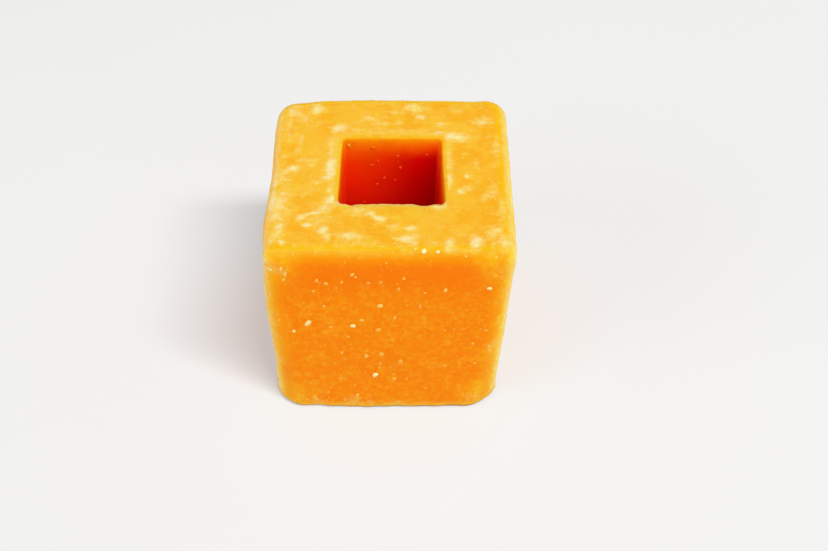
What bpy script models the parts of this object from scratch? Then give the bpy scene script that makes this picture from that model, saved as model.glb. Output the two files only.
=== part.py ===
"""A jaggery block: cane sugar cast as a cube, with a square hole right through it.

Metres, +Z up. The front faces -Y and the block rests on its foot at z = 0, with
the origin at the middle of its box's underside. The skin is one tube of rounded
squares: up the outer wall, in across the top face, and down the hole's wall.
"""

import math

import bmesh
import bpy
from mathutils import Vector, noise

# Driving dimensions of the casting.
WIDTH = 0.0600  # left to right, at the top
DEPTH = 0.0590  # front to back, at the top
HEIGHT = 0.0585
FOOT_WIDTH = 0.0588
FOOT_DEPTH = 0.0583
LEAN = Vector((-0.0016, 0.0))  # from the top's middle to the foot's middle

# The square hole that the mould's core left, open at both ends.
HOLE_WIDTH = 0.0252
HOLE_DEPTH = 0.0240
HOLE_SPLAY = 0.0010  # how much wider the hole's front is than its back
HOLE_SHIFT = Vector((0.0002, -0.0001))  # from the top's middle to the hole's
HOLE_LEAN = Vector((-0.0008, 0.0))  # what the hole leans beyond the block
HOLE_DRAFT = 0.0010  # how much wider and deeper the hole is at the foot

# Radii of the upright edges: front right, back right, back left, front left.
UPRIGHT_RADII_TOP = (0.0035, 0.0058, 0.0066, 0.0030)
UPRIGHT_RADII_FOOT = (0.0093, 0.0074, 0.0070, 0.0085)
HOLE_UPRIGHT_RADIUS = 0.0012  # all four upright corners of the hole

# Radii of the edges round each face.
TOP_RADIUS = 0.0036
FOOT_RADIUS = 0.0014
RIM_RADIUS = 0.0008  # where the hole meets the top face
HOLE_FOOT_RADIUS = 0.0006  # where the hole meets the underside

# The top face sinks a little between its edge and the hole's rim, as a casting cools.
SINK = 0.0003
RIM_LIFT = 0.0002

# The slow unevenness of every face, and the broken line of the rim at the hole's front.
DRIFT = 0.00015
DRIFT_LENGTH = 0.015
RAGGED = 0.00025
RAGGED_LENGTH = 0.0030
SETTLED = 0.003  # the underside is flat, and nothing rises or sinks below this height
AXIS_OFFSETS = (Vector((0.0, 0.0, 0.0)), Vector((31.4, 15.9, 26.5)), Vector((-35.8, 97.9, -32.3)))

# Worn and swollen places: (place, reach, push). The hole's front rim bows forwards, with two chips.
# Until the skin is centred on its foot, x = 0 and y = 0 lie under the middle of the top face.
SWELLS = (
    (Vector((-0.030, 0.019, 0.057)), 0.006, Vector((-0.00025, 0.0, 0.0))),
    (Vector((-0.030, 0.001, 0.057)), 0.006, Vector((0.00025, 0.0, 0.0))),
    (Vector((-0.030, -0.016, 0.057)), 0.005, Vector((-0.00040, 0.0, 0.0))),
    (Vector((-0.029, -0.028, 0.055)), 0.006, Vector((0.00045, 0.0, 0.0))),
    (Vector((-0.030, -0.027, 0.036)), 0.010, Vector((-0.00050, 0.0, 0.0))),
    (Vector((-0.030, -0.025, 0.014)), 0.006, Vector((0.00020, 0.0, 0.0))),
    (Vector((-0.024, 0.029, 0.058)), 0.0035, Vector((0.0, -0.0003, -0.0005))),
    (Vector((-0.003, 0.029, 0.058)), 0.007, Vector((0.0, 0.0, 0.00015))),
    (Vector((0.020, 0.029, 0.058)), 0.004, Vector((0.0, 0.0, -0.0003))),
    (Vector((-0.024, -0.029, 0.002)), 0.006, Vector((0.0, 0.0003, 0.0))),
    (Vector((-0.005, -0.029, 0.002)), 0.005, Vector((0.0, -0.0002, 0.0))),
    (Vector((0.0, -0.012, 0.0585)), 0.008, Vector((0.0, -0.0002, 0.0))),
    (Vector((-0.0096, -0.012, 0.0585)), 0.0018, Vector((0.0, -0.0004, -0.0001))),
    (Vector((0.0080, -0.012, 0.0585)), 0.0020, Vector((0.0, -0.0004, -0.0002))),
)

# How finely the skin is divided.
STRAIGHT_STEPS = 19  # along each side of a ring
CORNER_STEPS = 6  # round each corner of a ring
WALL_STEPS = 13
TOP_STEPS = 7
HOLE_STEPS = 8
TOP_ARC_STEPS = 6
SMALL_ARC_STEPS = 3

SUGAR_COLOUR = (0.95, 0.33, 0.02, 1.0)


def clear_scene():
    for thing in list(bpy.data.objects):
        bpy.data.objects.remove(thing)


def unit(degrees):
    return Vector((math.cos(math.radians(degrees)), math.sin(math.radians(degrees))))


def rounded_ring(middle, width, depth, radii):
    """A rounded rectangle's points, anticlockwise from its front right corner, with a radius a corner."""
    corners = ((1, -1, -90), (1, 1, 0), (-1, 1, 90), (-1, -1, 180))
    arcs = []
    for (side_x, side_y, start), radius in zip(corners, radii):
        centre = middle + Vector((side_x * (width / 2 - radius), side_y * (depth / 2 - radius)))
        turns = [start + 90 * step / CORNER_STEPS for step in range(CORNER_STEPS + 1)]
        arcs.append([centre + radius * unit(turn) for turn in turns])
    points = []
    for this, following in zip(arcs, arcs[1:] + arcs[:1]):
        points += this
        points += [this[-1].lerp(following[0], step / STRAIGHT_STEPS) for step in range(1, STRAIGHT_STEPS)]
    return points


def outer_ring(height, inset=0.0):
    """The outer wall's ring at a height, drawn in by inset."""
    down = 1 - height / HEIGHT
    radii = [
        max(top + (foot - top) * down - inset, top / 2)
        for top, foot in zip(UPRIGHT_RADII_TOP, UPRIGHT_RADII_FOOT)
    ]
    width = WIDTH + (FOOT_WIDTH - WIDTH) * down
    depth = DEPTH + (FOOT_DEPTH - DEPTH) * down
    return rounded_ring(LEAN * down, width - 2 * inset, depth - 2 * inset, radii)


def splayed(point, middle):
    """Moves a point of the hole's ring out towards the front of the hole, and in towards its back."""
    share = (middle.y - point.y) / HOLE_DEPTH * (point.x - middle.x) / HOLE_WIDTH
    return Vector((point.x + HOLE_SPLAY * share, point.y))


def hole_ring(height, widened=0.0):
    """The hole's ring at a height, widened all round."""
    down = 1 - height / HEIGHT
    middle = HOLE_SHIFT + (LEAN + HOLE_LEAN) * down
    extra = HOLE_DRAFT * down + 2 * widened
    radii = [HOLE_UPRIGHT_RADIUS + widened] * 4
    square = rounded_ring(middle, HOLE_WIDTH + extra, HOLE_DEPTH + extra, radii)
    return [splayed(point, middle) for point in square]


def raised(points, height):
    return [Vector((point.x, point.y, height)) for point in points]


def quarter(radius, steps):
    """Steps round a quarter circle, as pairs that both grow from nothing to the radius."""
    for step in range(1, steps + 1):
        angle = math.pi / 2 * step / steps
        yield radius * math.sin(angle), radius * (1 - math.cos(angle))


def wall_rings():
    """Up the outer wall, from the edge of the flat foot to the edge of the top face."""
    rings = [raised(outer_ring(0.0, FOOT_RADIUS), 0.0)]
    for out, up in quarter(FOOT_RADIUS, SMALL_ARC_STEPS):
        rings.append(raised(outer_ring(up, FOOT_RADIUS - out), up))
    low, high = FOOT_RADIUS, HEIGHT - TOP_RADIUS
    for step in range(1, WALL_STEPS + 1):
        height = low + (high - low) * step / WALL_STEPS
        rings.append(raised(outer_ring(height), height))
    for up, inset in quarter(TOP_RADIUS, TOP_ARC_STEPS):
        rings.append(raised(outer_ring(high + up, inset), high + up))
    return rings


def top_rings():
    """In across the top face, from its edge to the hole's rim."""
    outside = outer_ring(HEIGHT, TOP_RADIUS)
    inside = hole_ring(HEIGHT, RIM_RADIUS)
    rings = []
    for step in range(1, TOP_STEPS):
        share = step / TOP_STEPS
        height = HEIGHT + RIM_LIFT * share - SINK * math.sin(math.pi * share)
        rings.append(raised([a.lerp(b, share) for a, b in zip(outside, inside)], height))
    return rings


def hole_rings():
    """Down the hole's wall, from its rim to the edge of the flat foot."""
    rim = HEIGHT + RIM_LIFT
    rings = [raised(hole_ring(rim, RIM_RADIUS), rim)]
    for inwards, down in quarter(RIM_RADIUS, SMALL_ARC_STEPS):
        rings.append(raised(hole_ring(rim - down, RIM_RADIUS - inwards), rim - down))
    high, low = rim - RIM_RADIUS, HOLE_FOOT_RADIUS
    for step in range(1, HOLE_STEPS + 1):
        height = high + (low - high) * step / HOLE_STEPS
        rings.append(raised(hole_ring(height), height))
    rings.append(raised(hole_ring(0.0, HOLE_FOOT_RADIUS), 0.0))
    return rings


def smooth_step(value):
    value = min(max(value, 0.0), 1.0)
    return value * value * (3 - 2 * value)


def front_rim_distance(point):
    """How far a point is from the line where the hole's front wall meets the top face."""
    beside = max(abs(point.x - HOLE_SHIFT.x) - HOLE_WIDTH / 2, 0.0)
    behind = point.y - (HOLE_SHIFT.y - HOLE_DEPTH / 2)
    return Vector((beside, behind, HEIGHT - point.z)).length


def wander(point, length):
    """A smooth unevenness whose waves are about this long, each axis between -1 and 1."""
    return Vector([noise.noise(point / length + offset) for offset in AXIS_OFFSETS])


def uneven(point):
    """Where a point of the true form lies in the casting."""
    moved = DRIFT * wander(point, DRIFT_LENGTH)
    near_rim = 1 - smooth_step(front_rim_distance(point) / RAGGED_LENGTH)
    moved += near_rim * RAGGED * wander(point, RAGGED_LENGTH)
    for place, reach, push in SWELLS:
        moved += push * math.exp(-(((point - place).length / reach) ** 2))
    moved.z *= smooth_step(point.z / SETTLED)
    return point + moved


def skin(rings):
    """A closed mesh: a band of quads from each ring to the next, and from the last to the first."""
    built = bmesh.new()
    loops = [[built.verts.new(uneven(point)) for point in ring] for ring in rings]
    for lower, upper in zip(loops, loops[1:] + loops[:1]):
        for i, corner in enumerate(lower):
            j = (i + 1) % len(lower)
            built.faces.new((corner, lower[j], upper[j], upper[i]))
    bmesh.ops.recalc_face_normals(built, faces=built.faces)
    return built


def centre_on_foot(built):
    """Puts the origin at the middle of the underside of the mesh's box."""
    columns = list(zip(*(vert.co for vert in built.verts)))
    middle_x, middle_y = [(min(column) + max(column)) / 2 for column in columns[:2]]
    bmesh.ops.translate(built, verts=built.verts, vec=(-middle_x, -middle_y, -min(columns[2])))


def sugar_material():
    material = bpy.data.materials.new("cast_cane_sugar")
    material.use_nodes = True
    shader = material.node_tree.nodes["Principled BSDF"]
    shader.inputs["Base Color"].default_value = SUGAR_COLOUR
    shader.inputs["Roughness"].default_value = 0.5
    shader.inputs["Metallic"].default_value = 0.0
    shader.inputs["Subsurface Weight"].default_value = 1.0
    shader.inputs["Subsurface Radius"].default_value = (1.0, 0.3, 0.06)
    shader.inputs["Subsurface Scale"].default_value = 0.010
    return material


def jaggery_block():
    built = skin(wall_rings() + top_rings() + hole_rings())
    centre_on_foot(built)
    mesh = bpy.data.meshes.new("jaggery_block")
    built.to_mesh(mesh)
    built.free()
    mesh.shade_smooth()
    mesh.set_sharp_from_angle(angle=math.radians(40))
    mesh.materials.append(sugar_material())
    block = bpy.data.objects.new("jaggery_block", mesh)
    bpy.context.scene.collection.objects.link(block)


clear_scene()
jaggery_block()
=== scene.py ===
"""The looks of the jaggery block: its skin, its frost, its sugar grains, the floor and the light."""

import math

import bmesh
import bpy
import numpy as np
from mathutils import Matrix, Vector, noise
from mathutils.bvhtree import BVHTree


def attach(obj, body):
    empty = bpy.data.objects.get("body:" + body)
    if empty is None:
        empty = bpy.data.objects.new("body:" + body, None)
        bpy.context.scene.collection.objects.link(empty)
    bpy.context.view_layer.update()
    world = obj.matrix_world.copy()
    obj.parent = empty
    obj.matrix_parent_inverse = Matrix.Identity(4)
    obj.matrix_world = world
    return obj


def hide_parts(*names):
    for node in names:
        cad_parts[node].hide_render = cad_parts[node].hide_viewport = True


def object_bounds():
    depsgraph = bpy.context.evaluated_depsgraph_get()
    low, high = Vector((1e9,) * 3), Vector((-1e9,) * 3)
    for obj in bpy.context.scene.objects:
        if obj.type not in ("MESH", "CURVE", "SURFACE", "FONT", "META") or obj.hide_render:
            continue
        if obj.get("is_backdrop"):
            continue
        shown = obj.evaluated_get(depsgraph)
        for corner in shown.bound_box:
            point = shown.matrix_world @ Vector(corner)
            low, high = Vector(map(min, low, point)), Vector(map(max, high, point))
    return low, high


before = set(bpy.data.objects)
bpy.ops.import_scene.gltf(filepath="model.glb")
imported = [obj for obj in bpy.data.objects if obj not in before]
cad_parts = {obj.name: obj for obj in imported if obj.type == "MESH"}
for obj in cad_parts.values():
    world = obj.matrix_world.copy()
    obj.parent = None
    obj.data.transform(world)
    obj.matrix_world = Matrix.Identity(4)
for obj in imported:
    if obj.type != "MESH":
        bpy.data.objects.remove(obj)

CAD_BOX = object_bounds()
NODE = "jaggery_block"
BODY = "root"
MM = 0.001

# ---------------------------------------------------------------- the form, as the solid has it

WIDTH = 0.0600
DEPTH = 0.0590
HEIGHT = 0.0585
FOOT_WIDTH = 0.0588
FOOT_DEPTH = 0.0583
LEAN = np.array((-0.0016, 0.0))

HOLE_WIDTH = 0.0252
HOLE_DEPTH = 0.0240
HOLE_SPLAY = 0.0010
HOLE_SHIFT = np.array((0.0002, -0.0001))
HOLE_LEAN = np.array((-0.0008, 0.0))
HOLE_DRAFT = 0.0010

# Upright edges: front right, back right, back left, front left.
UPRIGHT_RADII_TOP = (0.0035, 0.0058, 0.0066, 0.0030)
UPRIGHT_RADII_FOOT = (0.0093, 0.0074, 0.0070, 0.0085)
HOLE_UPRIGHT_RADIUS = 0.0012

TOP_RADIUS = 0.0036
FOOT_RADIUS = 0.0014
RIM_RADIUS = 0.0008
HOLE_FOOT_RADIUS = 0.0006

SINK = 0.0003
RIM_LIFT = 0.0002
DRIFT = 0.00015
DRIFT_LENGTH = 0.015
RAGGED = 0.00025
RAGGED_LENGTH = 0.0030
SETTLED = 0.003

# Worn and swollen places: (place, reach, push), with x and y from the middle of the top face.
SWELLS = (
    ((-0.030, 0.019, 0.057), 0.006, (-0.00025, 0.0, 0.0)),
    ((-0.030, 0.001, 0.057), 0.006, (0.00025, 0.0, 0.0)),
    ((-0.030, -0.016, 0.057), 0.005, (-0.00040, 0.0, 0.0)),
    ((-0.029, -0.028, 0.055), 0.006, (0.00045, 0.0, 0.0)),
    ((-0.030, -0.027, 0.036), 0.010, (-0.00050, 0.0, 0.0)),
    ((-0.030, -0.025, 0.014), 0.006, (0.00020, 0.0, 0.0)),
    ((-0.024, 0.029, 0.058), 0.0035, (0.0, -0.0003, -0.0005)),
    ((-0.003, 0.029, 0.058), 0.007, (0.0, 0.0, 0.00015)),
    ((0.020, 0.029, 0.058), 0.004, (0.0, 0.0, -0.0003)),
    ((-0.024, -0.029, 0.002), 0.006, (0.0, 0.0003, 0.0)),
    ((-0.005, -0.029, 0.002), 0.005, (0.0, -0.0002, 0.0)),
    ((0.0, -0.012, 0.0585), 0.008, (0.0, -0.0002, 0.0)),
    ((-0.0096, -0.012, 0.0585), 0.0018, (0.0, -0.0004, -0.0001)),
    ((0.0080, -0.012, 0.0585), 0.0020, (0.0, -0.0004, -0.0002)),
)

# The offsets that part the three axes of one noise field, and one field from the next.
AXIS_OFFSETS = ((0.0, 0.0, 0.0), (31.4, 15.9, 26.5), (-35.8, 97.9, -32.3))

# ---------------------------------------------------------------- how finely the skin is divided

STRAIGHT_STEPS = 80
CORNER_STEPS = 12
WALL_STEPS = 90
TOP_STEPS = 48
HOLE_STEPS = 50
FOOT_STEPS = 12
TOP_ARC_STEPS = 10
RIM_ARC_STEPS = 6
FOOT_ARC_STEPS = 5

# ---------------------------------------------------------------- the fine relief of the skin

SKIN_DEPTH = 0.00010  # the skin lies this far inside the solid, so that grains on it stay within
GRAIN_RELIEF = ((0.0026, 0.00008), (0.0011, 0.00004))  # (length of the waves, their height)
HEM_WAVES = (0.0042, 0.00070)  # the uneven line of the foot's edge
RIM_WAVES = (0.0011, 0.00014)  # the crumbled line of the hole's front rim
CRUST_HEIGHT = 0.00012  # how far frost stands up from the skin


def smooth_step(values):
    values = np.clip(values, 0.0, 1.0)
    return values * values * (3 - 2 * values)


def field(points, length, offset=(0.0, 0.0, 0.0)):
    """Smooth noise between about -1 and 1, with waves about this long, at each point."""
    places = points / length + np.array(offset)
    return np.array([noise.noise(place) for place in places.tolist()])


def wander(points, length):
    """Three noise fields at each point, one for each axis."""
    return np.stack([field(points, length, offset) for offset in AXIS_OFFSETS], axis=1)


def rounded_ring(middle, width, depth, radii):
    """A rounded rectangle's points, anticlockwise from its front right corner."""
    corners = ((1, -1, -90), (1, 1, 0), (-1, 1, 90), (-1, -1, 180))
    arcs = []
    for (side_x, side_y, start), radius in zip(corners, radii):
        centre = middle + np.array((side_x * (width / 2 - radius), side_y * (depth / 2 - radius)))
        turns = np.radians(start + 90 * np.linspace(0, 1, CORNER_STEPS + 1))
        arcs.append(centre + radius * np.stack([np.cos(turns), np.sin(turns)], axis=1))
    shares = np.linspace(0, 1, STRAIGHT_STEPS + 1)[1:-1, None]
    pieces = []
    for this, following in zip(arcs, arcs[1:] + arcs[:1]):
        pieces += [this, this[-1] * (1 - shares) + following[0] * shares]
    return np.concatenate(pieces)


def outer_ring(height, inset=0.0):
    """The outer wall's ring at a height, drawn in by inset."""
    down = 1 - height / HEIGHT
    radii = [
        max(top + (foot - top) * down - inset, top / 2)
        for top, foot in zip(UPRIGHT_RADII_TOP, UPRIGHT_RADII_FOOT)
    ]
    width = WIDTH + (FOOT_WIDTH - WIDTH) * down
    depth = DEPTH + (FOOT_DEPTH - DEPTH) * down
    return rounded_ring(LEAN * down, width - 2 * inset, depth - 2 * inset, radii)


def hole_ring(height, widened=0.0):
    """The hole's ring at a height, widened all round."""
    down = 1 - height / HEIGHT
    middle = HOLE_SHIFT + (LEAN + HOLE_LEAN) * down
    extra = HOLE_DRAFT * down + 2 * widened
    radii = [HOLE_UPRIGHT_RADIUS + widened] * 4
    ring = rounded_ring(middle, HOLE_WIDTH + extra, HOLE_DEPTH + extra, radii)
    across, back = (ring - middle).T
    ring[:, 0] -= HOLE_SPLAY * back / HOLE_DEPTH * across / HOLE_WIDTH
    return ring


def raised(points, height):
    return np.column_stack([points, np.full(len(points), height)])


def quarter(radius, steps):
    """Steps round a quarter circle, as pairs that both grow from nothing to the radius."""
    for step in range(1, steps + 1):
        angle = math.pi / 2 * step / steps
        yield radius * math.sin(angle), radius * (1 - math.cos(angle))


def wall_rings():
    """Up the outer wall, from the edge of the flat foot to the edge of the top face."""
    rings = [raised(outer_ring(0.0, FOOT_RADIUS), 0.0)]
    for out, up in quarter(FOOT_RADIUS, FOOT_ARC_STEPS):
        rings.append(raised(outer_ring(up, FOOT_RADIUS - out), up))
    low, high = FOOT_RADIUS, HEIGHT - TOP_RADIUS
    for step in range(1, WALL_STEPS + 1):
        height = low + (high - low) * step / WALL_STEPS
        rings.append(raised(outer_ring(height), height))
    for up, inset in quarter(TOP_RADIUS, TOP_ARC_STEPS):
        rings.append(raised(outer_ring(high + up, inset), high + up))
    return rings


def top_rings():
    """In across the top face, from its edge to the hole's rim."""
    outside = outer_ring(HEIGHT, TOP_RADIUS)
    inside = hole_ring(HEIGHT, RIM_RADIUS)
    rings = []
    for step in range(1, TOP_STEPS):
        share = step / TOP_STEPS
        height = HEIGHT + RIM_LIFT * share - SINK * math.sin(math.pi * share)
        rings.append(raised(outside * (1 - share) + inside * share, height))
    return rings


def hole_rings():
    """Down the hole's wall, from its rim to the edge of the flat foot."""
    rim = HEIGHT + RIM_LIFT
    rings = [raised(hole_ring(rim, RIM_RADIUS), rim)]
    for inwards, down in quarter(RIM_RADIUS, RIM_ARC_STEPS):
        rings.append(raised(hole_ring(rim - down, RIM_RADIUS - inwards), rim - down))
    high, low = rim - RIM_RADIUS, HOLE_FOOT_RADIUS
    for step in range(1, HOLE_STEPS + 1):
        height = high + (low - high) * step / HOLE_STEPS
        rings.append(raised(hole_ring(height), height))
    rings.append(raised(hole_ring(0.0, HOLE_FOOT_RADIUS), 0.0))
    return rings


def foot_rings():
    """Out across the underside, from the hole to the edge of the flat foot."""
    inside = hole_ring(0.0, HOLE_FOOT_RADIUS)
    outside = outer_ring(0.0, FOOT_RADIUS)
    shares = [step / FOOT_STEPS for step in range(1, FOOT_STEPS)]
    return [raised(inside * (1 - share) + outside * share, 0.0) for share in shares]


def front_rim_distance(points):
    """How far each point is from the line where the hole's front wall meets the top face."""
    beside = np.maximum(np.abs(points[:, 0] - HOLE_SHIFT[0]) - HOLE_WIDTH / 2, 0.0)
    behind = points[:, 1] - (HOLE_SHIFT[1] - HOLE_DEPTH / 2)
    return np.sqrt(beside**2 + behind**2 + (HEIGHT - points[:, 2]) ** 2)


def rim_distance(points):
    """How far out from the hole each point lies, seen from above."""
    sides = np.abs(points[:, :2] - HOLE_SHIFT) - np.array((HOLE_WIDTH, HOLE_DEPTH)) / 2
    return np.linalg.norm(np.maximum(sides, 0), axis=1)


def uneven(points):
    """Where the points of the true form lie in the casting."""
    moved = DRIFT * wander(points, DRIFT_LENGTH)
    near_rim = 1 - smooth_step(front_rim_distance(points) / RAGGED_LENGTH)
    moved += near_rim[:, None] * RAGGED * wander(points, RAGGED_LENGTH)
    for place, reach, push in SWELLS:
        distance = np.linalg.norm(points - np.array(place), axis=1)
        moved += np.exp(-((distance / reach) ** 2))[:, None] * np.array(push)
    moved[:, 2] *= smooth_step(points[:, 2] / SETTLED)
    return points + moved


# ---------------------------------------------------------------- frost

# Patches of frost on the top: (x, y, half length, half width, turn in degrees, strength), in mm
# from the middle of the foot.
TOP_PATCHES = (
    # the left margin, from back to front
    (-27.0, 17.5, 6.5, 2.4, 90, 0.72),
    (-28.6, 7.5, 5.5, 1.4, 90, 0.80),
    (-27.0, 3.5, 3.2, 1.5, 90, 0.70),
    (-27.4, -3.0, 4.6, 2.8, 90, 0.98),
    (-27.2, -11.5, 5.0, 2.8, 90, 1.18),
    (-27.0, -16.5, 2.6, 1.8, 80, 1.00),
    (-25.8, -20.8, 1.8, 1.4, 60, 1.10),
    (-26.8, -24.0, 2.2, 0.9, 90, 0.80),
    (-24.4, -25.4, 2.0, 0.6, -60, 0.95),
    # behind the hole
    (-24.6, 22.2, 2.6, 1.6, -25, 0.95),
    (-19.2, 23.6, 1.9, 1.7, 60, 1.15),
    (-25.5, 24.6, 3.0, 1.0, 20, 0.75),
    (-22.0, 20.0, 2.6, 1.4, -30, 0.60),
    (-9.5, 24.6, 1.1, 0.7, 80, 0.70),
    (-5.0, 20.2, 1.6, 1.0, -20, 0.80),
    (-8.0, 18.6, 2.2, 0.7, 30, 0.55),
    (-2.0, 18.0, 2.4, 0.7, 0, 0.55),
    (2.2, 18.1, 1.2, 0.8, 0, 0.70),
    (5.8, 24.4, 2.6, 2.0, 20, 0.80),
    (0.0, 23.0, 2.0, 1.0, 0, 0.45),
    (8.1, 20.8, 1.3, 1.0, 30, 0.95),
    (13.2, 17.2, 1.0, 0.9, 0, 0.80),
    (17.5, 23.0, 1.8, 1.0, 0, 0.55),
    (-12.3, 16.0, 2.0, 1.5, 0, 1.05),
    (-8.5, 15.2, 3.0, 0.9, 0, 0.55),
    (0.5, 14.6, 11.5, 1.1, 0, 0.50),
    (12.4, 13.9, 1.9, 0.7, 10, 1.00),
    (16.8, 12.4, 3.2, 1.7, 3, 1.00),
    # left of the hole
    (-22.3, 11.3, 1.8, 0.4, 85, 0.90),
    (-22.8, 7.6, 0.9, 0.6, 90, 0.85),
    (-20.4, 3.9, 2.6, 0.6, 5, 0.65),
    (-19.0, 2.2, 1.0, 0.5, 0, 0.75),
    (-23.6, 0.6, 1.5, 1.3, 20, 1.20),
    (-14.2, 8.5, 5.0, 1.2, 90, 0.75),
    (-14.2, 1.6, 3.8, 1.5, 88, 1.10),
    (-14.4, -2.0, 2.2, 1.4, 80, 1.20),
    (-17.0, -4.5, 1.4, 0.8, 0, 0.55),
    (-14.2, -7.4, 2.8, 0.9, 90, 0.70),
    (-13.4, -10.8, 1.9, 1.5, 45, 1.35),
    (-20.0, -8.0, 2.4, 1.2, 30, 0.45),
    # right of the hole
    (15.0, 3.0, 5.0, 0.7, 90, 0.60),
    (14.9, -3.0, 1.5, 0.8, 80, 1.00),
    (14.6, -6.0, 1.2, 0.7, 90, 0.80),
    (17.7, -7.6, 1.4, 1.1, 50, 0.90),
    (19.3, -2.0, 1.0, 0.8, 40, 0.80),
    (19.0, -6.5, 1.0, 0.8, 0, 0.65),
    (12.0, -13.4, 1.5, 0.9, 10, 0.80),
    (21.5, 2.0, 2.0, 1.0, 80, 0.55),
    (24.5, -8.0, 2.5, 1.4, 60, 0.60),
    (27.2, 8.0, 4.5, 1.1, 90, 0.70),
    (24.0, 19.0, 2.6, 1.5, 30, 0.80),
    (27.4, -14.0, 4.0, 1.1, 90, 0.80),
    # in front of the hole
    (0.0, -26.3, 25.0, 1.1, 0, 0.42),
    (-18.0, -15.4, 4.2, 0.8, 17, 0.90),
    (-20.6, -17.0, 1.4, 0.8, 20, 0.85),
    (-15.0, -13.4, 3.2, 1.7, 20, 0.75),
    (-7.0, -14.8, 3.0, 1.2, -10, 0.65),
    (-3.9, -15.7, 1.0, 0.8, 0, 1.10),
    (-1.6, -17.4, 1.3, 0.9, -50, 1.10),
    (-3.0, -16.6, 2.4, 1.0, -40, 0.70),
    (-19.2, -19.3, 1.1, 0.8, 0, 0.95),
    (-15.0, -20.8, 1.7, 1.1, 75, 1.20),
    (-13.9, -23.4, 1.4, 0.8, 80, 1.00),
    (-16.0, -18.0, 3.4, 1.8, -20, 0.50),
    (-8.2, -22.9, 2.9, 1.4, 0, 0.90),
    (-12.0, -22.5, 1.9, 0.8, 0, 0.60),
    (1.2, -19.9, 1.4, 0.9, 0, 0.55),
    (5.8, -20.4, 1.3, 0.8, 0, 0.85),
    (4.6, -24.0, 2.2, 1.3, 10, 0.95),
    (6.2, -25.6, 1.2, 1.1, 80, 1.00),
    (14.4, -25.9, 1.8, 1.0, 75, 1.25),
    (20.6, -25.3, 2.2, 1.4, 78, 1.30),
    (25.0, -22.0, 2.6, 1.8, 20, 0.80),
    (24.6, -26.0, 1.6, 0.7, 80, 0.80),
    (27.4, -25.4, 2.6, 1.8, 85, 1.12),
)

# Patches of frost on the walls: (x, y, z, reach, strength), in mm from the middle of the foot.
WALL_PATCHES = (
    (28.8, -27.6, 53.0, 3.5, 0.55),
    (28.8, -27.0, 46.0, 3.0, 0.45),
    (26.4, -27.4, 24.5, 2.6, 0.60),
    (21.6, -28.7, 4.6, 2.2, 0.60),
    (-26.8, -29.0, 54.0, 2.2, 0.55),
    (-24.3, -29.3, 53.0, 1.4, 0.60),
    (-28.8, -27.8, 47.0, 2.0, 0.45),
    (-28.8, -27.5, 38.0, 2.0, 0.40),
    (-28.4, -27.4, 20.0, 2.4, 0.40),
    (-10.0, -29.2, 3.4, 2.4, 0.55),
    (-5.5, -29.2, 3.2, 1.8, 0.45),
    (1.6, -29.2, 2.6, 1.6, 0.50),
    (-19.0, -29.0, 2.6, 2.6, 0.45),
    (28.0, 26.0, 50.0, 4.0, 0.55),
    (27.0, 26.5, 20.0, 4.0, 0.45),
    (-28.5, 26.0, 46.0, 4.0, 0.50),
    (-29.5, 25.0, 12.0, 4.0, 0.40),
    (29.6, 8.0, 3.2, 2.2, 0.50),
    (29.4, -12.0, 3.0, 2.0, 0.45),
    (-30.0, -6.0, 3.0, 2.2, 0.45),
    (-30.0, 14.0, 2.8, 2.0, 0.45),
    (6.0, 29.2, 3.0, 2.2, 0.50),
    (-14.0, 29.2, 3.0, 2.0, 0.45),
)

# Places on the walls that are yellower than the rest: (x, y, z, reach, strength), in mm. Those at the top
# corners are partly painted light, where the rounded corners catch light from above.
YELLOW_PLACES = (
    (-28.5, -29.0, 56.0, 8.5, 1.10),
    (28.5, -29.0, 56.0, 8.5, 1.10),
    (28.5, -28.0, 44.0, 5.0, 0.60),
    (27.0, -27.5, 22.0, 6.0, 0.80),
    (24.5, -28.0, 6.0, 7.5, 0.90),
    (-26.0, -28.0, 5.0, 7.5, 0.80),
    (-28.0, -28.0, 30.0, 6.0, 0.40),
    (28.0, 28.0, 54.0, 8.0, 1.00),
    (-28.0, 28.0, 54.0, 8.0, 1.00),
    (-28.0, 28.0, 12.0, 8.0, 0.80),
    (28.0, 28.0, 6.0, 7.0, 0.80),
)
# The pale bands are partly frost and partly painted sheen and glow: palest on the silhouette, and narrower
# on the right and left faces.
SILHOUETTE = 0.75  # how far round an upright edge it lies, as a share of the radius
BAND_SQUEEZE = 1.1
BAND_DULLING = 0.0018
RIGHT_BAND_WIDENING = 0.0004

# The back edge is pale where it turns over, partly frost and partly a painted highlight on its rounding,
# thinning out towards the middle of the top.
BACK_EDGE_FROST_AND_HIGHLIGHT_AT = 0.0283
BACK_EDGE_FROST_AND_HIGHLIGHT_REACH = 0.0014


def top_frost(points):
    """How much frost lies at each point of the top, from nothing to about one."""
    x, y = points[:, 0] / MM, points[:, 1] / MM
    frost = np.zeros(len(points))
    for at_x, at_y, length, breadth, turn, strength in TOP_PATCHES:
        cos, sin = math.cos(math.radians(turn)), math.sin(math.radians(turn))
        along = ((x - at_x) * cos + (y - at_y) * sin) / length
        across = ((y - at_y) * cos - (x - at_x) * sin) / breadth
        frost = np.maximum(frost, strength * np.exp(-(along**2 + across**2) * 0.7))
    return frost


def wall_frost(points):
    """How much frost lies at each point of the walls."""
    frost = np.zeros(len(points))
    for x, y, z, reach, strength in WALL_PATCHES:
        distance = np.linalg.norm(points / MM - np.array((x, y, z)), axis=1)
        frost = np.maximum(frost, strength * np.exp(-((distance / reach) ** 2)))
    return frost


# ---------------------------------------------------------------- the skin


def ring_normals(grid):
    """Outward normals of a closed grid of rings, from the steps along and across it."""
    along = np.roll(grid, -1, axis=1) - np.roll(grid, 1, axis=1)
    across = np.roll(grid, -1, axis=0) - np.roll(grid, 1, axis=0)
    normals = np.cross(along, across)
    return normals / np.linalg.norm(normals, axis=2, keepdims=True)


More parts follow.
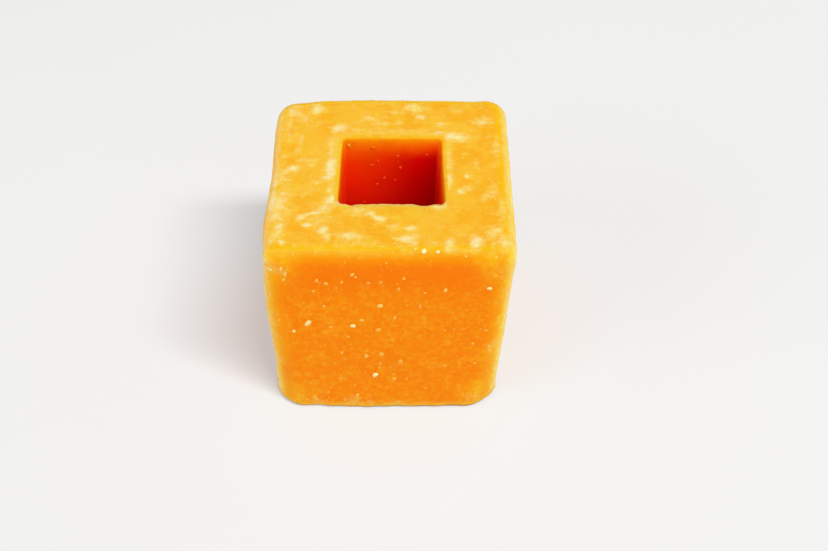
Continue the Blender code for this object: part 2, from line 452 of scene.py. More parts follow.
def edge_distance(true):
    """How far in from an edge each wall point lies, for the pale bands along the edges, which are partly
    frost and partly painted sheen.
    """
    down = 1 - true[:, 2] / HEIGHT
    right, behind = true[:, 0] > 0, true[:, 1] > 0
    corner = np.where(right, np.where(behind, 1, 0), np.where(behind, 2, 3))
    radius = np.array(UPRIGHT_RADII_TOP)[corner] * (1 - down)
    radius += np.array(UPRIGHT_RADII_FOOT)[corner] * down
    across = (WIDTH + (FOOT_WIDTH - WIDTH) * down) / 2 - np.abs(true[:, 0] - LEAN[0] * down)
    along = (DEPTH + (FOOT_DEPTH - DEPTH) * down) / 2 - np.abs(true[:, 1])
    past = np.maximum(along - SILHOUETTE * radius, 0)
    upright = across + BAND_SQUEEZE * past + BAND_DULLING * smooth_step(past / 0.0015)
    upright -= RIGHT_BAND_WIDENING * (across < along) * right
    on_sides = smooth_step((along / radius - 0.3) / 0.4)  # not on the front or the back
    below_top = BAND_SQUEEZE * (HEIGHT - TOP_RADIUS / 2 - true[:, 2]) + BAND_DULLING / 2
    return np.minimum(upright, below_top + 0.030 * (1 - on_sides))


def yellowness(cast):
    strengths = np.zeros(len(cast))
    for x, y, z, reach, strength in YELLOW_PLACES:
        apart = np.linalg.norm(cast / MM - np.array((x, y, z)), axis=1)
        strengths = np.maximum(strengths, strength * np.exp(-((apart / reach) ** 2)))
    return strengths


def skin_looks(true, cast, normals, section):
    """What the skin's material reads at each point: the names of its layers, with their values."""
    wall, hole = section == "wall", section == "hole"
    rise = normals[:, 2]
    upward = smooth_step(np.where(hole, (rise - 0.45) / 0.50, (rise - 0.44) / 0.55))
    deep = np.where(hole, HEIGHT + RIM_LIFT - true[:, 2], 0.0)
    edge = np.where(wall, edge_distance(true), 1.0)
    rim = np.where(section == "top", rim_distance(true), 1.0)
    rim += 0.004 * smooth_step((-0.006 - true[:, 1]) / 0.006)  # no pale band in front of the hole
    beside = smooth_step(np.abs(normals[:, 0]) / 0.8) * hole
    shoulder = np.exp(-(((rise - 0.95) / 0.06) ** 2)) * wall
    foot = np.where(wall, true[:, 2], HEIGHT)

    turns = 0.2 + 0.35 * smooth_step((-0.024 - cast[:, 1]) / 0.003)
    frost = top_frost(cast) * smooth_step((rise - turns) / 0.45) * ~hole
    frost = np.maximum(frost, wall_frost(cast) * wall)
    lip = np.exp(-((front_rim_distance(true) / 0.0008) ** 2)) * smooth_step(rise / 0.3)
    # Pale round the top's rounded edges, except at the front: partly frost, partly a painted highlight
    # where the rounding catches the light.
    turned = wall * np.exp(-(((rise - 0.80) / 0.13) ** 2)) * (cast[:, 1] > -0.022)
    frost = np.maximum(frost, 0.5 * turned)
    # The back edge's pale line, partly a painted highlight.
    from_back = np.abs(cast[:, 1] - BACK_EDGE_FROST_AND_HIGHLIGHT_AT) / BACK_EDGE_FROST_AND_HIGHLIGHT_REACH
    frost = np.maximum(frost, 1.1 * np.exp(-from_back) * smooth_step((rise - 0.55) / 0.25))
    return {
        "upward": upward,
        "deep": deep,
        "edge": edge,
        "yellow": yellowness(cast) * wall,
        "rim": rim,
        "beside": beside,
        "lip": lip,
        "shoulder": shoulder,
        "foot": foot,
        "frost": frost,
    }


def fine_relief(true, cast, normals, section, frost):
    """How the skin stands off the smooth casting, at each point."""
    free = smooth_step(true[:, 2] / SETTLED)
    height = sum(size * field(cast, length, (7.0, 7.0, 7.0)) for length, size in GRAIN_RELIEF)
    crumble = field(cast, 0.0009, (3.0, 9.0, 4.0))
    height += CRUST_HEIGHT * frost * (0.5 + 0.7 * crumble)
    push = normals * ((height - SKIN_DEPTH) * free)[:, None]

    length, size = HEM_WAVES
    straight = 1 - 0.8 * smooth_step(4 * (normals[:, 0] * normals[:, 1]) ** 2)
    hem = np.exp(-((true[:, 2] / 0.0016) ** 2)) * (section == "wall") * straight
    push[:, :2] += normals[:, :2] * (size * hem * field(cast, length, (1.0, 2.0, 3.0)))[:, None]

    length, size = RIM_WAVES
    near_rim = size * np.exp(-((front_rim_distance(true) / 0.0011) ** 2))
    push[:, 1] += near_rim * (field(cast, length, (5.0, 1.0, 8.0)) + 1.2)
    push[:, 2] += near_rim * field(cast, length, (2.0, 6.0, 1.0))
    return push


def within_cad_box(points):
    return np.clip(points, np.array(CAD_BOX[0]), np.array(CAD_BOX[1]))


def skin_mesh():
    """The block's skin with its fine relief, and the layers that its material reads."""
    sections = {"wall": wall_rings(), "top": top_rings(), "hole": hole_rings(), "foot": foot_rings()}
    form = np.array([ring for rings in sections.values() for ring in rings])
    count, around = form.shape[:2]
    true = form.reshape(-1, 3)
    section = np.repeat([name for name, rings in sections.items() for _ in rings], around)

    cast = uneven(true)
    low, high = cast.min(axis=0), cast.max(axis=0)
    cast -= np.array(((low[0] + high[0]) / 2, (low[1] + high[1]) / 2, low[2]))
    normals = ring_normals(cast.reshape(count, around, 3)).reshape(-1, 3)
    looks = skin_looks(true, cast, normals, section)
    skin = within_cad_box(cast + fine_relief(true, cast, normals, section, looks["frost"]))

    ring, step = np.meshgrid(np.arange(count), np.arange(around), indexing="ij")
    here, beside = ring * around + step, ring * around + (step + 1) % around
    above = (ring + 1) % count * around
    faces = np.stack([here, beside, above + (step + 1) % around, above + step], axis=2).reshape(-1, 4)
    mesh = bpy.data.meshes.new("block_skin")
    mesh.from_pydata(skin.tolist(), [], faces.tolist())
    mesh.shade_smooth()
    for name, values in looks.items():
        layer = mesh.attributes.new(name, "FLOAT", "POINT")
        layer.data.foreach_set("value", values.astype(np.float32))
    return mesh


# ---------------------------------------------------------------- materials


def linear(red, green, blue):
    """A colour as the screen shows it, from 0 to 255, in the renderer's linear light."""
    shown = np.array((red, green, blue)) / 255
    light = np.where(shown <= 0.04045, shown / 12.92, ((shown + 0.055) / 1.055) ** 2.4)
    return (*light.tolist(), 1.0)


class Nodes:
    """A short way of writing a material's nodes."""

    def __init__(self, name):
        self.material = bpy.data.materials.new(name)
        self.material.use_nodes = True
        self.tree = self.material.node_tree
        self.shader = self.tree.nodes["Principled BSDF"]
        self.place = self.add("ShaderNodeTexCoord").outputs["Object"]

    def add(self, kind, **settings):
        node = self.tree.nodes.new(kind)
        for name, value in settings.items():
            setattr(node, name, value)
        return node

    def put(self, socket, value):
        """Links an output to the socket, or sets a plain value on it."""
        if isinstance(value, bpy.types.NodeSocket):
            self.tree.links.new(value, socket)
        else:
            socket.default_value = value

    def attribute(self, name):
        return self.add("ShaderNodeAttribute", attribute_name=name).outputs["Fac"]

    def maths(self, operation, *values):
        node = self.add("ShaderNodeMath", operation=operation)
        for socket, value in zip(node.inputs, values):
            self.put(socket, value)
        return node.outputs["Value"]

    def noise(self, length, detail=2.0, roughness=0.5, stretch=(1.0, 1.0, 1.0), offset=0.0):
        """Noise from 0 to 1 whose waves are about this many metres long."""
        mapping = self.add("ShaderNodeMapping")
        self.put(mapping.inputs["Vector"], self.place)
        mapping.inputs["Scale"].default_value = stretch
        mapping.inputs["Location"].default_value = (offset, offset, offset)
        node = self.add("ShaderNodeTexNoise")
        self.put(node.inputs["Vector"], mapping.outputs["Vector"])
        self.put(node.inputs["Scale"], 1 / length)
        self.put(node.inputs["Detail"], detail)
        self.put(node.inputs["Roughness"], roughness)
        return node.outputs["Fac"]

    def ramp(self, value, low, high, to_low=0.0, to_high=1.0):
        """Takes low to high onto a smooth rise between two values."""
        node = self.add("ShaderNodeMapRange", interpolation_type="SMOOTHSTEP")
        self.put(node.inputs["Value"], value)
        node.inputs["From Min"].default_value = low
        node.inputs["From Max"].default_value = high
        node.inputs["To Min"].default_value = to_low
        node.inputs["To Max"].default_value = to_high
        return node.outputs["Result"]

    def mix(self, share, first, second):
        node = self.add("ShaderNodeMix", data_type="RGBA")
        self.put(node.inputs["Factor"], share)
        self.put(node.inputs[6], first)
        self.put(node.inputs[7], second)
        return node.outputs[2]

    def curve(self, value, stops):
        """A colour for each value, from stops of (value, colour)."""
        node = self.add("ShaderNodeValToRGB")
        elements = node.color_ramp.elements
        while len(elements) < len(stops):
            elements.new(0.5)
        for element, (position, colour) in zip(elements, stops):
            element.position = position
            element.color = colour
        self.put(node.inputs["Fac"], value)
        return node.outputs["Color"]

    def bump(self, height, strength, distance):
        node = self.add("ShaderNodeBump")
        node.inputs["Strength"].default_value = strength
        node.inputs["Distance"].default_value = distance
        self.put(node.inputs["Height"], height)
        self.put(self.shader.inputs["Normal"], node.outputs["Normal"])


# The top's colours are partly painted light: lighter and yellower than the sides', as if lit from above.
TOP_COLOUR = linear(241, 163, 30)
TOP_PALE = linear(241, 175, 48)
RIM_COLOUR = linear(242, 182, 62)
FRINGE_COLOUR = linear(252, 146, 16)  # right at the hole's edge
SHOULDER_COLOUR = linear(240, 171, 3)
SIDE_COLOUR = linear(248, 128, 1)
SIDE_PALE = linear(247, 148, 6)
SIDE_SPECK = linear(248, 166, 38)
SIDE_YELLOW = linear(247, 170, 20)
SIDE_DARK = linear(240, 108, 1)
SIDE_DEEP = linear(250, 120, 1)  # just under the top's edge
# Pale along the foot, partly painted sheen on its rounding.
FOOT_PALE_AND_SHEEN = linear(246, 172, 50)
# A painted contact shade: the dark line where the foot's rounding meets the floor.
FOOT_CONTACT_SHADE = linear(140, 78, 20)
FROST_THIN = linear(243, 190, 86)
FROST_THICK = linear(246, 210, 152)
LIP_COLOUR = linear(255, 196, 124)  # the crumbled front edge of the hole

EDGE_REACH = 0.008  # the colours in from an upright edge run to this distance
# The edge bands' colours are partly frost and partly painted sheen, palest at the edge.
EDGE_FROST_AND_SHEEN_STOPS = (
    (0.00, linear(247, 208, 120)),
    (0.12, linear(247, 194, 82)),
    (0.19, linear(247, 184, 56)),
    (0.26, linear(247, 172, 34)),
    (0.34, linear(247, 160, 14)),
    (0.43, linear(247, 150, 6)),
    (1.00, linear(247, 140, 2)),
)
HOLE_REACH = 0.030  # the colours down the hole run from its rim to this depth
# Painted shade: the hole's colours darken and redden with depth, standing in for the shade inside it and
# the red light bounced between its walls.
HOLE_PAINTED_SHADE_STOPS = (
    (0.00, linear(251, 172, 14)),
    (0.05, linear(254, 156, 8)),
    (0.10, linear(255, 132, 5)),
    (0.18, linear(255, 102, 3)),
    (0.27, linear(255, 74, 3)),
    (0.36, linear(254, 62, 3)),
    (0.49, linear(248, 46, 3)),
    (0.78, linear(228, 26, 2)),
    (1.00, linear(208, 14, 1)),
)
# A painted shadow: the right rim's shade on the right of the back wall.
HOLE_SHADE = linear(222, 1, 1)
GLOW_RADIUS = (1.0, 0.25, 0.05)  # how far red, green and blue light travel in the sugar
GLOW_SCALE = 0.012

# The floor is a softly backlit sheet, so that it takes on little of the block's colour.
FLOOR_DULL = (0.42, 0.419, 0.415)
FLOOR_CLEAR = (0.44, 0.439, 0.435)
FLOOR_GLOW = 0.355


def side_colour(n, drifts, flecks):
    """Orange, mottled, deeper under the top's edge, and paler along its upright edges and foot, partly as
    painted sheen, with a painted contact shade along the foot's lowest line.
    """
    mottle = n.maths("MULTIPLY_ADD", drifts, 0.35, n.maths("MULTIPLY", flecks, 0.65))
    side = n.mix(n.ramp(mottle, 0.42, 0.64), SIDE_COLOUR, SIDE_PALE)
    side = n.mix(n.ramp(n.noise(0.0020, 3.0, 0.6, offset=1.1), 0.60, 0.78), side, SIDE_DARK)
    specks = n.noise(0.0008, 2.0, 0.5, offset=4.0)
    side = n.mix(n.ramp(specks, 0.60, 0.74, 0.0, 0.8), side, SIDE_SPECK)
    place = n.add("ShaderNodeSeparateXYZ")
    n.put(place.inputs["Vector"], n.place)
    side = n.mix(n.ramp(place.outputs["Z"], 0.042, 0.051, 0.0, 0.75), side, SIDE_DEEP)
    side = n.mix(n.ramp(place.outputs["Z"], 0.0535, 0.0575, 0.0, 0.30), side, SIDE_YELLOW)

    # Yellower places; at the top corners partly painted light from above.
    yellow = n.maths("MULTIPLY", n.attribute("yellow"), n.ramp(flecks, 0.3, 0.7, 0.75, 1.15))
    side = n.mix(n.ramp(yellow, 0.1, 1.0), side, SIDE_YELLOW)

    # The pale upright bands: partly frost, partly painted sheen.
    waver = n.maths("SUBTRACT", n.noise(0.007, 3.0, offset=2.0), 0.5)
    edge = n.maths("MULTIPLY_ADD", waver, 0.003, n.attribute("edge"))
    edge = n.maths("MULTIPLY_ADD", n.maths("SUBTRACT", flecks, 0.5), 0.0035, edge)
    band = n.curve(n.maths("DIVIDE", edge, EDGE_REACH), EDGE_FROST_AND_SHEEN_STOPS)
    side = n.mix(n.ramp(edge, 0.0026, 0.0060), band, side)

    # The pale foot band, partly painted sheen.
    foot = n.maths("MULTIPLY_ADD", n.maths("SUBTRACT", drifts, 0.5), 0.004, n.attribute("foot"))
    side = n.mix(n.ramp(foot, 0.0010, 0.0034, 1.0, 0.0), side, FOOT_PALE_AND_SHEEN)
    # A painted contact shade along the foot's lowest line.
    line = n.ramp(n.attribute("foot"), 0.0008, 0.0013, 1.0, 0.0)
    line = n.maths("MULTIPLY", line, n.ramp(drifts, 0.3, 0.6, 0.5, 1.0))
    return n.mix(line, side, FOOT_CONTACT_SHADE)


def top_colour(n, drifts):
    """Yellower than the sides, partly as painted light falling from above, in soft clouds, with a clear
    band where it turns over its edge.
    """
    place = n.add("ShaderNodeSeparateXYZ")
    n.put(place.inputs["Vector"], n.place)
    clouds = n.maths("MULTIPLY_ADD", n.noise(0.009), 0.5, n.maths("MULTIPLY", drifts, 0.5))
    clouds = n.maths("MULTIPLY_ADD", place.outputs["X"], -2.5, clouds)
    top = n.mix(n.ramp(clouds, 0.40, 0.60), TOP_COLOUR, TOP_PALE)
    rim = n.maths("MULTIPLY_ADD", n.maths("SUBTRACT", drifts, 0.5), 0.003, n.attribute("rim"))
    top = n.mix(n.ramp(rim, 0.0008, 0.0036, 0.9, 0.0), top, RIM_COLOUR)
    top = n.mix(n.ramp(n.attribute("rim"), 0.0, 0.0006, 0.7, 0.0), top, FRINGE_COLOUR)
    return n.mix(n.attribute("shoulder"), top, SHOULDER_COLOUR)


def hole_colour(n, deep):
    """From the top's yellow to red, the redder the deeper, and redder still towards +X: painted shade and
    painted red light bounced between the walls, deepening with depth, with a painted shadow of the right
    rim on the right of the back wall.
    """
    place = n.add("ShaderNodeSeparateXYZ")
    n.put(place.inputs["Vector"], n.place)
    waver = n.maths("SUBTRACT", n.noise(0.005, 3.0, offset=3.0), 0.5)
    beside = n.attribute("beside")
    # The side walls take less of the painted shade and of the painted shadow.
    depth = n.maths("MULTIPLY", deep, n.ramp(beside, 0.0, 1.0, 1.0, 0.8))
    depth = n.maths("MULTIPLY_ADD", waver, 0.0025, depth)
    hole = n.curve(n.maths("DIVIDE", depth, HOLE_REACH), HOLE_PAINTED_SHADE_STOPS)
    shade = n.maths("MULTIPLY", n.ramp(place.outputs["X"], -0.008, 0.008), n.ramp(depth, 0.001, 0.008))
    shade = n.maths("MULTIPLY", shade, n.ramp(beside, 0.0, 1.0, 1.0, 0.35))
    return n.mix(shade, hole, HOLE_SHADE)


def skin_material():
    n = Nodes("cast_cane_sugar_skin")
    upward, deep = n.attribute("upward"), n.attribute("deep")
    drifts = n.noise(0.0034, 3.0, 0.6, offset=0.3)
    flecks = n.noise(0.0015, 4.0, 0.6, offset=0.7)
    grain = n.noise(0.0005, 2.0, 0.6)
    streaks = n.noise(0.0011, 3.0, 0.6, stretch=(0.25, 1.0, 1.0), offset=1.7)

    under = n.mix(n.maths("GREATER_THAN", deep, 0.0), side_colour(n, drifts, flecks), hole_colour(n, deep))
    # The top's colour is partly painted light from above: lighter and yellower than the sides.
    body = n.mix(upward, under, top_colour(n, drifts))

    # Frost: lacy patches where it lies, and stray flecks and streaks elsewhere on the top.
    lace = n.attribute("frost")
    for pattern, strength in ((flecks, 1.4), (drifts, 0.7), (grain, 0.3)):
        lace = n.maths("MULTIPLY_ADD", n.maths("SUBTRACT", pattern, 0.5), strength, lace)
    stray = n.maths("MULTIPLY", upward, n.ramp(streaks, 0.45, 0.75, 0.05, 0.35))
    lace = n.maths("ADD", lace, stray)
    lace = n.maths("MULTIPLY", lace, n.ramp(deep, 0.0002, 0.0020, 1.0, 0.0))
    lace = n.maths("MULTIPLY", lace, n.ramp(n.attribute("shoulder"), 0.0, 1.0, 1.0, 0.7))
    thin = n.ramp(lace, 0.10, 0.95)
    thick = n.ramp(lace, 0.55, 1.40)
    colour = n.mix(thick, n.mix(thin, body, FROST_THIN), FROST_THICK)
    colour = n.mix(n.attribute("lip"), colour, LIP_COLOUR)
    n.put(n.shader.inputs["Base Color"], colour)

    n.put(n.shader.inputs["Roughness"], n.ramp(thin, 0.0, 1.0, 0.45, 0.7))
    n.shader.inputs["Specular IOR Level"].default_value = 0.03
    n.put(n.shader.inputs["Subsurface Weight"], n.ramp(thick, 0.0, 1.0, 0.85, 0.35))
    n.shader.inputs["Subsurface Radius"].default_value = GLOW_RADIUS
    n.shader.inputs["Subsurface Scale"].default_value = GLOW_SCALE
    n.bump(n.maths("ADD", n.maths("MULTIPLY_ADD", grain, 0.5, flecks), thin), 0.5, 0.00012)
    return n.material


GRAIN_STOPS = (
    (0.0, linear(247, 72, 8)),
    (0.15, linear(248, 104, 8)),
    (0.3, linear(247, 152, 26)),
    (0.6, linear(248, 190, 84)),
    (1.0, linear(249, 224, 156)),
)


def grain_material():
    n = Nodes("pale_sugar_grain")
    tone = n.attribute("tone")
    n.put(n.shader.inputs["Base Color"], n.curve(tone, GRAIN_STOPS))
    n.shader.inputs["Roughness"].default_value = 0.4
    n.shader.inputs["Specular IOR Level"].default_value = 0.1
    n.shader.inputs["Subsurface Weight"].default_value = 0.5
    n.shader.inputs["Subsurface Radius"].default_value = GLOW_RADIUS
    n.shader.inputs["Subsurface Scale"].default_value = 0.001
    n.bump(n.noise(0.0003, 2.0, 0.6), 0.4, 0.00005)
    return n.material


def floor_material():
    n = Nodes("pale_floor")
    cloth = n.noise(0.12, 3.0)
    n.put(n.shader.inputs["Base Color"], n.mix(cloth, (*FLOOR_DULL, 1.0), (*FLOOR_CLEAR, 1.0)))
    n.shader.inputs["Roughness"].default_value = 0.9
    n.shader.inputs["Specular IOR Level"].default_value = 0.0
    n.shader.inputs["Emission Color"].default_value = (1.0, 1.0, 0.992, 1.0)
    n.shader.inputs["Emission Strength"].default_value = FLOOR_GLOW
    return n.material


# ---------------------------------------------------------------- sugar grains

# Grains on the front: (x, z, length, width, turn in degrees, tone), in mm from the middle of the foot.
FRONT_GRAINS = (
    (-19.6, 34.5, 2.6, 1.3, 55, 0.85),
    (-8.7, 33.4, 1.5, 1.3, 20, 0.89),
    (-23.3, 31.6, 1.3, 0.8, 80, 0.85),
    (-6.5, 35.6, 1.0, 0.8, 0, 0.66),
    (-3.7, 14.0, 1.9, 1.3, 50, 1.00),
    (-1.9, 40.9, 1.5, 1.2, 30, 0.66),
    (-5.8, 21.7, 1.9, 1.0, 80, 0.51),
    (-2.1, 22.6, 1.5, 1.2, 30, 0.47),
    (24.1, 47.0, 1.3, 1.1, 0, 0.81),
    (13.7, 46.4, 1.3, 0.9, 70, 0.62),
    (8.9, 45.6, 0.7, 0.6, 0, 0.55),
    (1.6, 36.7, 1.4, 0.7, 75, 0.55),
    (-10.1, 29.4, 0.7, 0.5, 0, 0.62),
    (-8.2, 51.8, 1.2, 0.8, 40, 0.66),
    (-7.4, 51.0, 0.7, 0.6, 0, 0.59),
    (-16.7, 49.7, 1.4, 1.0, 60, 0.44),
    (-14.5, 48.7, 1.1, 0.9, 0, 0.51),
    (-10.8, 49.2, 1.1, 0.9, 80, 0.44),
    (-4.5, 49.0, 1.0, 0.7, 0, 0.47),
    (3.9, 50.6, 1.0, 0.7, 60, 0.51),
    (2.6, 47.0, 1.2, 0.8, 50, 0.44),
    (-1.6, 49.2, 1.2, 0.8, 60, 0.40),
    (-15.4, 40.7, 1.0, 0.7, 70, 0.51),
    (-14.2, 33.0, 1.0, 0.7, 50, 0.47),
    (-11.9, 23.0, 1.0, 0.7, 80, 0.55),
    (1.1, 12.4, 1.2, 0.9, 50, 0.51),
    (-8.6, 5.8, 1.2, 0.9, 70, 0.55),
    (-2.4, 18.9, 1.0, 0.7, 60, 0.47),
    (-2.6, 17.2, 0.7, 0.5, 0, 0.44),
    (20.9, 26.7, 1.0, 0.7, 80, 0.47),
    (7.7, 40.8, 1.3, 0.7, 100, 0.44),
    (-2.6, 32.0, 1.6, 1.1, 20, 0.44),
    (2.7, 19.5, 2.2, 1.4, 80, 0.36),
    (-17.6, 46.2, 0.9, 0.7, 30, 0.44),
    (-12.8, 12.6, 1.0, 0.8, 0, 0.38),
    (14.0, 17.8, 1.2, 0.9, 30, 0.38),
    (23.9, 31.9, 0.9, 0.7, 0, 0.47),
    (-27.4, 53.3, 1.8, 0.7, 10, 0.81),
    (-24.6, 54.0, 1.5, 0.6, 80, 0.77),
    (-23.8, 52.0, 1.9, 0.5, 75, 0.77),
    (-24.3, 50.2, 1.0, 0.5, 60, 0.66),
    (-28.2, 43.9, 1.6, 0.5, 80, 0.70),
    (-27.9, 28.2, 1.4, 0.5, 85, 0.62),
    (-28.2, 18.6, 1.5, 0.5, 85, 0.70),
    (-26.5, 35.5, 0.9, 0.5, 80, 0.59),
)
# Grains on the top: (x, y, length, width, turn in degrees, tone).
TOP_GRAINS = (
    (8.6, -27.6, 1.3, 1.1, 20, 0.95),
    (11.8, -27.8, 1.0, 0.9, 0, 0.85),
    (6.6, -27.2, 0.8, 0.6, 40, 0.70),
    (15.6, -27.4, 0.9, 0.6, 10, 0.60),
    (20.6, -26.4, 1.0, 0.8, 30, 0.90),
    (21.4, -24.0, 0.9, 0.8, 70, 0.90),
    (14.4, -25.0, 1.0, 0.7, 60, 0.80),
    (5.2, -25.0, 1.2, 0.6, 20, 0.75),
    (-3.9, -15.7, 1.0, 0.8, 30, 0.85),
    (-1.5, -17.4, 1.0, 0.9, -40, 0.85),
    (-23.8, 1.1, 1.1, 0.9, 0, 0.80),
    (-22.3, 11.4, 1.6, 0.5, 85, 0.60),
    (-22.8, 7.6, 0.9, 0.6, 90, 0.60),
    (-19.2, 24.0, 1.1, 0.9, 0, 0.90),
    (12.6, 14.0, 1.4, 0.6, 10, 0.80),
    (-13.4, -10.6, 1.2, 0.9, 40, 0.90),
    (-12.0, -11.9, 1.1, 0.6, -30, 0.85),
    (-14.5, -1.6, 1.0, 0.8, 90, 0.85),
    (8.2, 20.9, 0.9, 0.7, 0, 0.75),
)

# Grains on the hole's back wall: (x, z, length, width, turn in degrees, tone). Their tones darken with
# depth as painted shade, like the hole's walls.
HOLE_GRAINS = (
    (-10.4, 56.0, 1.3, 1.0, 60, 0.38),
    (-8.9, 56.8, 0.9, 0.5, 100, 0.20),
    (-4.2, 55.2, 1.3, 1.0, 10, 0.18),
    (2.0, 52.5, 1.0, 0.9, 30, 0.05),
    (-3.2, 50.8, 0.8, 0.7, 0, 0.06),
    (-4.8, 49.4, 1.6, 0.7, 5, 0.04),
    (2.7, 48.6, 0.9, 0.8, 0, 0.03),
    (-1.6, 44.8, 1.1, 0.9, 40, 0.03),
    (1.3, 44.2, 0.9, 0.5, 0, 0.00),
    (-3.6, 42.6, 1.2, 0.8, 20, 0.02),
    (9.6, 53.0, 0.9, 0.7, 60, 0.04),
)

GRAIN_SEED = 7
STRAY_GRAINS = 700
STRAY_SIZES = (0.00030, 0.00080)
FROST_CRUMBS = 1600
CRUMB_SIZES = (0.00014, 0.00034)


def ball(detail):
    """A round ball's points and triangles."""
    built = bmesh.new()
    bmesh.ops.create_icosphere(built, subdivisions=detail, radius=1.0)
    points = np.array([tuple(vert.co) for vert in built.verts])
    faces = np.array([[vert.index for vert in face.verts] for face in built.faces])
    built.free()
    return points, faces


class Grains:
    """One joined mesh of grains, each lying half sunk in the skin."""

    def __init__(self, detail):
        self.ball, self.faces = ball(detail)
        self.points, self.tones = [], []

    def add(self, place, normal, size, turn, tone, seed):
        """Adds a grain of this (length, width, height), turned about the skin's normal."""
        up = np.array(normal)
        level = np.cross(up, (0.0, 1.0, 0.0) if abs(up[0]) > 0.9 else (1.0, 0.0, 0.0))
        level /= np.linalg.norm(level)
        side = np.cross(level, up)
        cos, sin = math.cos(turn), math.sin(turn)
        axes = np.array((side * cos + level * sin, level * cos - side * sin, up))
        lumps = 1 + 0.35 * field(self.ball, 0.9, (seed * 1.7, seed * 0.9, seed * 0.3))
        shape = self.ball * lumps[:, None] * np.array(size) / 2
        self.points.append(np.array(place) + shape @ axes)
        self.tones.append(np.full(len(shape), tone))

    def piece(self, name, material):
        step = len(self.ball)
        faces = np.concatenate([self.faces + step * i for i in range(len(self.points))])
        mesh = bpy.data.meshes.new(name)
        mesh.from_pydata(within_cad_box(np.concatenate(self.points)).tolist(), [], faces.tolist())
        mesh.shade_smooth()
        layer = mesh.attributes.new("tone", "FLOAT", "POINT")
        layer.data.foreach_set("value", np.concatenate(self.tones).astype(np.float32))
        mesh.materials.append(material)
        return riding(add_object(name, mesh))


def scattered(mesh, count, random, weight):
    """Random places on a mesh, with their normals, where weight says how likely each vertex's is."""
    mesh.calc_loop_triangles()
    corners = np.array([tuple(triangle.vertices) for triangle in mesh.loop_triangles])
    areas = np.array([triangle.area for triangle in mesh.loop_triangles])
    chance = areas * weight[corners].mean(axis=1)
    points = np.array([tuple(vert.co) for vert in mesh.vertices])
    for index in random.choice(len(corners), count, p=chance / chance.sum()):
        a, b, c = points[corners[index]]
        along, across = random.random(2)
        if along + across > 1:
            along, across = 1 - along, 1 - across
        normal = np.cross(b - a, c - a)
        yield a + (b - a) * along + (c - a) * across, normal / np.linalg.norm(normal)


def add_listed_grains(grains, skin):
    """Puts the listed grains on the front, the top and the hole's back wall, by a ray to the skin."""
    polygons = [face.vertices for face in skin.polygons]
    tree = BVHTree.FromPolygons([vert.co for vert in skin.vertices], polygons)
    views = (
        (FRONT_GRAINS, lambda x, z: (x, -100, z), (0, 1, 0)),
        (TOP_GRAINS, lambda x, y: (x, y, 100), (0, 0, -1)),
        (HOLE_GRAINS, lambda x, z: (x, 0, z), (0, 1, 0)),
    )
    for listed, start, direction in views:
        for x, other, length, width, turn, tone in listed:
            origin = Vector(start(x, other)) * MM
            place, normal = tree.ray_cast(origin, Vector(direction))[:2]
            size = np.array((length, width, width * 0.55)) * MM
            grains.add(place, normal, size, math.radians(turn), tone, len(grains.points))


def layer_values(mesh, name):
    values = np.zeros(len(mesh.vertices), np.float32)
    mesh.attributes[name].data.foreach_get("value", values)
    return values


def stray_tone(place, normal, chance):
    """Palest on the top, orange on the sides, and red within the hole, darker the deeper there as painted
    shade, like the hole's walls.
    """
    within = max(abs(place[0]), abs(place[1])) < 0.0145 and normal[2] < 0.6
    if within:
        return 0.04 + 0.3 * smooth_step((place[2] - 0.050) / 0.008)
    return 0.34 + 0.30 * chance + 0.18 * max(normal[2], 0)


def sugar_grains(skin):
    grains = Grains(detail=2)
    add_listed_grains(grains, skin)
    random = np.random.default_rng(GRAIN_SEED)
    open_air = 1 - 0.8 * smooth_step(layer_values(skin, "deep") / 0.002)
    for seed, (place, normal) in enumerate(scattered(skin, STRAY_GRAINS, random, open_air), 100):
        length = STRAY_SIZES[0] + (STRAY_SIZES[1] - STRAY_SIZES[0]) * random.random() ** 3
        width = length * random.uniform(0.6, 0.9)
        tone = stray_tone(place, normal, random.random() ** 2)
        grains.add(place, normal, (length, width, width * 0.5), random.uniform(0, math.tau), tone, seed)
    return grains.piece("sugar_grains", grain_material())


def frost_crumbs(skin):
    crumbs = Grains(detail=1)
    random = np.random.default_rng(GRAIN_SEED + 1)
    frost = layer_values(skin, "frost") ** 1.5 + 0.03 * layer_values(skin, "upward")
    for seed, (place, normal) in enumerate(scattered(skin, FROST_CRUMBS, random, frost), 1000):
        length = random.uniform(*CRUMB_SIZES)
        width = length * random.uniform(0.6, 1.0)
        tone = random.uniform(0.4, 1.0)
        crumbs.add(place, normal, (length, width, width * 0.7), random.uniform(0, math.tau), tone, seed)
    return crumbs.piece("frost_crumbs", grain_material())


# ---------------------------------------------------------------- pieces


def add_object(name, data):
    thing = bpy.data.objects.new(name, data)
    bpy.context.scene.collection.objects.link(thing)
    return thing


def riding(piece):
    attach(piece, BODY)
    return piece


def block_skin():
    mesh = skin_mesh()
    mesh.materials.append(skin_material())
    piece = riding(add_object("block_skin", mesh))
    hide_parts(NODE)
    return mesh


# ---------------------------------------------------------------- the stage

FLOOR_SIZE = 6.0
WORLD_LIGHT = 0.30
# Each lamp: its name, place, length, breadth and power.
LAMPS = (
    ("softbox", (0.80, -0.80, 2.0), 1.2, 0.30, 53.0),
    ("fill", (-1.60, -0.90, 0.90), 1.2, 1.2, 12.0),
)
CAMERA_PLACE = (0.00625, -0.21313, 0.24709)
CAMERA_PITCH = 46.77  # degrees below the horizon
CAMERA_LENS = 50.0

# The camera's response: light up to the knee shows as it is, and brighter light is drawn in softly.
RESPONSE_KNEE = 0.85
RESPONSE_CEILING = 0.98
RESPONSE_REACH = 1.6
RESPONSE_STEPS = 16


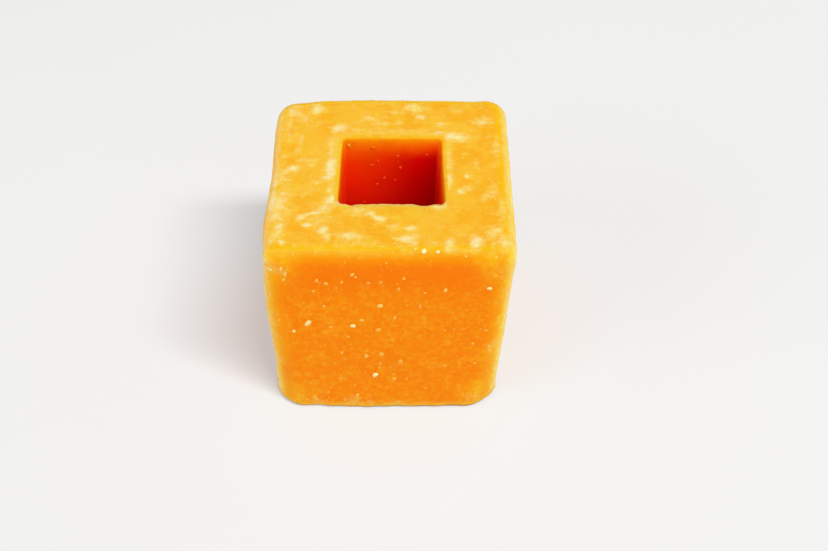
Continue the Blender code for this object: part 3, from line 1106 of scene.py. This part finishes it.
def facing_block(place):
    """The turn that points a lamp at the block, with its long side as near to X as it goes."""
    back = Vector(place).normalized()
    side = (Vector((1, 0, 0)) - back * back.x).normalized()
    return Matrix((side, back.cross(side), back)).transposed().to_euler()


def floor():
    mesh = bpy.data.meshes.new("floor")
    half = FLOOR_SIZE / 2
    corners = [(-half, -half, 0), (half, -half, 0), (half, half, 0), (-half, half, 0)]
    mesh.from_pydata(corners, [], [(0, 1, 2, 3)])
    mesh.materials.append(floor_material())
    add_object("floor", mesh)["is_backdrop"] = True


def light():
    world = bpy.data.worlds.new("soft_studio")
    bpy.context.scene.world = world
    world.use_nodes = True
    world.node_tree.nodes["Background"].inputs["Color"].default_value = (1.0, 1.0, 1.0, 1.0)
    world.node_tree.nodes["Background"].inputs["Strength"].default_value = WORLD_LIGHT
    for name, place, length, breadth, power in LAMPS:
        lamp = bpy.data.lights.new(name, "AREA")
        lamp.shape = "RECTANGLE"
        lamp.size = length
        lamp.size_y = breadth
        lamp.energy = power
        thing = add_object(name, lamp)
        thing.location = place
        thing.rotation_euler = facing_block(place)


def response(brightness):
    if brightness <= RESPONSE_KNEE:
        return brightness
    room = RESPONSE_CEILING - RESPONSE_KNEE
    return RESPONSE_KNEE + room * (1 - math.exp(-(brightness - RESPONSE_KNEE) / room))


def camera():
    data = bpy.data.cameras.new("camera")
    data.lens = CAMERA_LENS
    data.clip_start = 0.01
    thing = add_object("camera", data)
    thing.location = CAMERA_PLACE
    thing.rotation_euler = (math.radians(90 - CAMERA_PITCH), 0, 0)
    bpy.context.scene.camera = thing
    view = bpy.context.scene.view_settings
    view.view_transform = "Standard"
    view.use_curve_mapping = True
    view.curve_mapping.white_level = (RESPONSE_REACH, RESPONSE_REACH, RESPONSE_REACH)
    points = view.curve_mapping.curves[3].points
    for step in range(1, RESPONSE_STEPS):
        share = step / RESPONSE_STEPS
        points.new(share, response(share * RESPONSE_REACH))
    points[len(points) - 1].location = (1.0, response(RESPONSE_REACH))
    view.curve_mapping.update()


camera()
light()
floor()
skin = block_skin()
sugar_grains(skin)
frost_crumbs(skin)

boxes = {"cad": CAD_BOX, "visual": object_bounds()}
{name: [list(corner) for corner in box] for name, box in boxes.items()}
